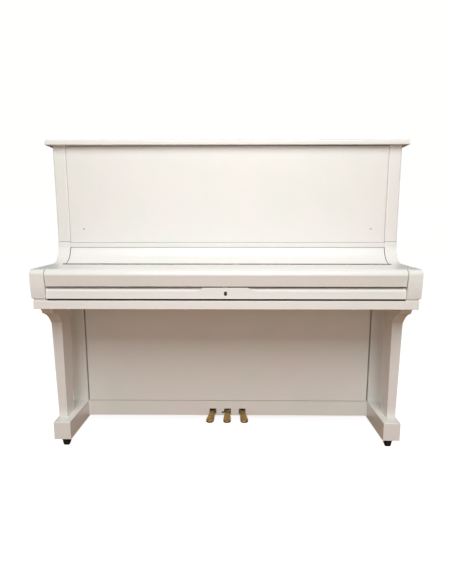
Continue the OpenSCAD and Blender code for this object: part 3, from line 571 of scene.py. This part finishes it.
def make_pedals():
    """Cast pedals: a paddle with a raised tread, on a square arm with a pivot boss."""
    rail_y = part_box("kick_rail")[0].y
    across = Vector((1, 0, 0))
    for place, side in enumerate(SIDES):
        low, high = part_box(f"pedal_{side}")
        pivot = Vector(JOINT[f"pedal_{side}_press"]["pos_m"])
        tip = Vector(((place - 1) * TIP_PITCH, low.y + TIP_R, low.z))
        root = Vector((pivot.x, rail_y + 4 * MM, low.z))
        outline = []
        for step in range(WIDEN_STEPS + 1):     # widening from the rail to the tip
            t = step / WIDEN_STEPS
            width = NECK_R + (TIP_R - NECK_R) * t * t * (3 - 2 * t)
            outline.append((root.lerp(tip, t), width))
        mesh = bmesh.new()
        ring = [mesh.verts.new(at - across * width) for at, width in outline]
        for step in range(1, NOSE_STEPS):
            turn = math.pi * (1 + step / NOSE_STEPS)
            nose = Vector((math.cos(turn), math.sin(turn), 0)) * TIP_R
            ring.append(mesh.verts.new(tip + nose))
        ring += [mesh.verts.new(at + across * width) for at, width in reversed(outline)]
        sole = mesh.faces.new(ring)
        rim = list(sole.edges)
        grown = bmesh.ops.extrude_face_region(mesh, geom=[sole])["geom"]
        top = [g for g in grown if isinstance(g, bmesh.types.BMFace)]
        bmesh.ops.translate(mesh, verts=[g for g in grown if isinstance(g, bmesh.types.BMVert)],
                            vec=(0, 0, 9 * MM))
        inner = bmesh.ops.inset_region(mesh, faces=top, thickness=3.2 * MM, depth=1.2 * MM,
                                       use_even_offset=True)
        edges = rim + [e for face in inner["faces"] for e in face.edges]
        soften(mesh, list(set(edges)), 1.1 * MM)
        add_block(mesh, (pivot.x - ARM_HALF, rail_y - 6 * MM, low.z),
                  (pivot.x + ARM_HALF, high.y, low.z + 11.5 * MM), 1.5 * MM)
        add_turned(mesh, [(4.2 * MM, -9.9 * MM), (9 * MM, -9.9 * MM), (9.6 * MM, -9 * MM),
                          (9.6 * MM, 9 * MM), (9 * MM, 9.9 * MM), (4.2 * MM, 9.9 * MM)],
                   pivot, (1, 0, 0), 24)
        put(f"brass_pedal_{side}", mesh, f"pedal_{side}", "brass", None, f"pedal_{side}")


WHEEL_SIDE = (                          # share of the radius, share of half the width
    (0.16, 0.8), (0.4, 0.8), (0.46, 0.5), (0.7, 0.42), (0.78, 0.86), (0.86, 1.0),
    (0.95, 0.93), (1.0, 0.72))


def make_wheels():
    """Solid wheels with a rounded tread, a dished web and a hub."""
    for node in ("wheel_left", "wheel_right", "rear_wheel_left", "rear_wheel_right"):
        low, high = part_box(node)
        centre = (low + high) / 2
        axle = Vector(JOINT[f"{node}_roll"]["axis"])
        r = (high.z - low.z) / 2
        half = abs((high - low).dot(axle)) / 2
        profile = [(r * a, half * b) for a, b in WHEEL_SIDE]
        profile += [(r * a, -half * b) for a, b in reversed(WHEEL_SIDE)]
        profile.append(profile[0])
        mesh = bmesh.new()
        add_turned(mesh, profile, centre, axle, 36)
        wheel = put(f"{node}_tyre", mesh, node, "caster_black", None, node)
        for face in wheel.data.polygons:
            face.use_smooth = True


KEYHOLE_R = 5.75 * MM
KEYHOLE_STRETCH = 2.5 * MM              # half of what makes it taller than wide
PLUG_RIM = 4.6 * MM                     # radius where the lining meets the plug


def make_keyhole():
    """Black oval lining of the keyhole, round the plug: a near-black sheet that paints the shade inside the hole.
    """
    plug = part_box("lock_plug")
    face_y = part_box("key_slip")[0].y
    middle = (plug[0] + plug[1]) / 2
    mesh = bmesh.new()
    rim = bmesh.ops.create_circle(mesh, segments=32, radius=KEYHOLE_R)["verts"]
    upright = Euler((math.pi / 2, 0, 0)).to_matrix()
    bmesh.ops.rotate(mesh, verts=rim, cent=(0, 0, 0), matrix=upright)
    for vert in rim:                            # stretched into a tall oval
        vert.co.z += math.copysign(KEYHOLE_STRETCH, vert.co.z)
    bmesh.ops.translate(mesh, verts=rim, vec=(middle.x, face_y + 0.3 * MM, middle.z))
    wall = bmesh.ops.extrude_edge_only(mesh, edges=mesh.edges)["geom"]
    inner = [g for g in wall if isinstance(g, bmesh.types.BMVert)]
    bmesh.ops.translate(mesh, verts=inner, vec=(0, 2.4 * MM, 0))
    bottom = bmesh.ops.extrude_edge_only(
        mesh, edges=[g for g in wall if isinstance(g, bmesh.types.BMEdge)])["geom"]
    for vert in [g for g in bottom if isinstance(g, bmesh.types.BMVert)]:
        away = vert.co - Vector((middle.x, vert.co.y, middle.z))
        vert.co = Vector((middle.x, vert.co.y, middle.z)) + away.normalized() * PLUG_RIM
    # its near-black colour is painted shade inside the hole
    liner = put("keyhole_lining", mesh, "case", "black_iron", "keyhole_shade_black")
    skin = liner.modifiers.new("sheet", "SOLIDIFY")
    skin.thickness = 0.15 * MM
    skin.offset = 0


SIGNS = ((-1, "left"), (1, "right"))


def make_painted_gap_shades():
    """Thin dark strips of painted shade, standing for hairline gaps where one lacquered piece meets the next."""
    low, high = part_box("arm_right")
    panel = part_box("upper_panel")
    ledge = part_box("panel_ledge")
    face_y = panel[0].y
    for side, name in SIGNS:
        ends = sorted((side * low.x, side * high.x))
        felt_strip(f"stile_gap_painted_shade_{name}", (ends[0], face_y - 0.4 * MM, high.z),
                   (ends[1], face_y + 0.5 * MM, high.z + 1.2 * MM), "case", "dark_felt_and_painted_shade", 0.2 * MM)
    felt_strip("ledge_gap_painted_shade", (ledge[0].x, ledge[0].y - 0.5 * MM, ledge[0].z - 1.3 * MM),
               (ledge[1].x, ledge[0].y + 2 * MM, ledge[0].z + 0.2 * MM),
               "case", "dark_felt_and_painted_shade", 0.2 * MM)
    lid_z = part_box("lid_front")[0].z
    # rest felt for the lid, near black so that it also paints the shade under the lid's front overhang
    felt_strip("lid_rest_felt_and_shade", (ledge[0].x, face_y - 1.2 * MM, lid_z - 1.7 * MM),
               (ledge[1].x, face_y + 14 * MM, lid_z + 0.3 * MM), "lid", "dark_felt_and_painted_shade", 0.4 * MM)
    half = panel[1].x + 0.3 * MM
    felt_strip("panel_foot_gap_painted_shade", (-half, ledge[0].y + 1 * MM, ledge[1].z - 0.5 * MM),
               (half, ledge[0].y + 4 * MM, ledge[1].z + 0.25 * MM), "case", "dark_felt_and_painted_shade", 0.1 * MM)
    end_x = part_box("cove_rail")[1].x - 0.2 * MM
    for side, name in SIGNS:
        mesh = bmesh.new()
        add_hollow_shade_line(mesh, side * end_x)
        put(f"cove_gap_painted_shade_{name}", mesh, "case", "red_felt", "dark_felt_and_painted_shade")


CHIP_AT = (0.622, 0.94)                 # across from the middle, and above the floor


def make_chips():
    """Two small marks low on the upper panel, taken to be filled chips in its lacquer."""
    face_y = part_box("upper_panel")[0].y
    across, height = CHIP_AT
    for side, name in SIGNS:
        mesh = bmesh.new()
        add_block(mesh, (side * across - 3.5 * MM, face_y - 0.3 * MM, height - 2 * MM),
                  (side * across + 3.5 * MM, face_y + 1 * MM, height + 2 * MM), 0.3 * MM)
        put(f"filled_chip_{name}", mesh, "upper_panel", "cream_polish", "filler")


COVE_BACK = 2.5 * MM                    # how far the hollow's top stands before the panel
COVE_RUN = 60.5 * MM                    # the hollow's depth, front to back
COVE_SAG = 13 * MM                      # how far it bows in from a straight slope
LINE_WIDTH = 1.3 * MM                   # half the width of its line
LINE_STEPS = 14


def add_hollow_shade_line(mesh, x):
    """A thin dark strip of painted shade that follows the hollow moulding's end, down to the fallboard's top."""
    face_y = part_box("upper_panel")[0].y
    top = Vector((0, face_y - COVE_BACK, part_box("panel_ledge")[0].z - 0.5 * MM))
    foot = Vector((0, top.y - COVE_RUN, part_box("fallboard")[1].z))
    run = top - foot
    out = Vector((0, -run.z, run.y)).normalized()
    rows = []
    for k in range(LINE_STEPS + 1):
        t = k / LINE_STEPS
        point = foot + run * t - out * (COVE_SAG * 4 * t * (1 - t) - 0.15 * MM)
        rows.append([mesh.verts.new(point + Vector((x + dx, 0, 0)) + out * dz)
                     for dx, dz in ((-LINE_WIDTH, -1 * MM), (-LINE_WIDTH, 0.5 * MM),
                                    (LINE_WIDTH, 0.5 * MM), (LINE_WIDTH, -1 * MM))])
    for first, second in zip(rows, rows[1:]):
        for k in range(4):
            mesh.faces.new((first[k], first[(k + 1) % 4], second[(k + 1) % 4], second[k]))
    mesh.faces.new(rows[0][::-1])
    mesh.faces.new(rows[-1])


# ---------------------------------------------------------------- stage

STAGE_SIZE = 14.0                       # half the side of the floor, and the backdrop's radius


def stage_piece(name, mesh, material):
    """Makes a piece of the surroundings, which isn't part of the piano."""
    data = bpy.data.meshes.new(name)
    mesh.to_mesh(data)
    mesh.free()
    data.materials.append(material)
    piece = bpy.data.objects.new(name, data)
    bpy.context.collection.objects.link(piece)
    return piece


def make_stage():
    """A white sweep that the camera sees, and warm boards that only throw light back."""
    sweep, _, shader, _ = start("white_sweep", Roughness=0.9, Emission_Strength=0.9)
    shader.inputs["Base Color"].default_value = srgb("f4f3f1")
    shader.inputs["Emission Color"].default_value = (1, 1, 1, 1)
    mesh = bmesh.new()
    bmesh.ops.create_grid(mesh, x_segments=1, y_segments=1, size=STAGE_SIZE)
    floor = stage_piece("floor", mesh, sweep)
    mesh = bmesh.new()
    bmesh.ops.create_uvsphere(mesh, u_segments=48, v_segments=24, radius=STAGE_SIZE)
    backdrop = stage_piece("backdrop", mesh, sweep)
    for piece in (floor, backdrop):
        piece.visible_diffuse = False
        piece.visible_glossy = False
        piece.visible_shadow = False
    boards, _, shader, _ = start("warm_boards", Roughness=0.7)
    shader.inputs["Base Color"].default_value = srgb("9c6f47")
    mesh = bmesh.new()
    bmesh.ops.create_grid(mesh, x_segments=1, y_segments=1, size=STAGE_SIZE)
    bmesh.ops.translate(mesh, verts=mesh.verts, vec=(0, 0, -1 * MM))
    bounce = stage_piece("bounce_boards", mesh, boards)
    bounce.visible_camera = False


set_camera()
set_light()
make_stage()
materials = make_materials()
dress_nodes(materials)
make_felts()
make_pedals()
make_wheels()
make_keyhole()
make_painted_gap_shades()
make_chips()
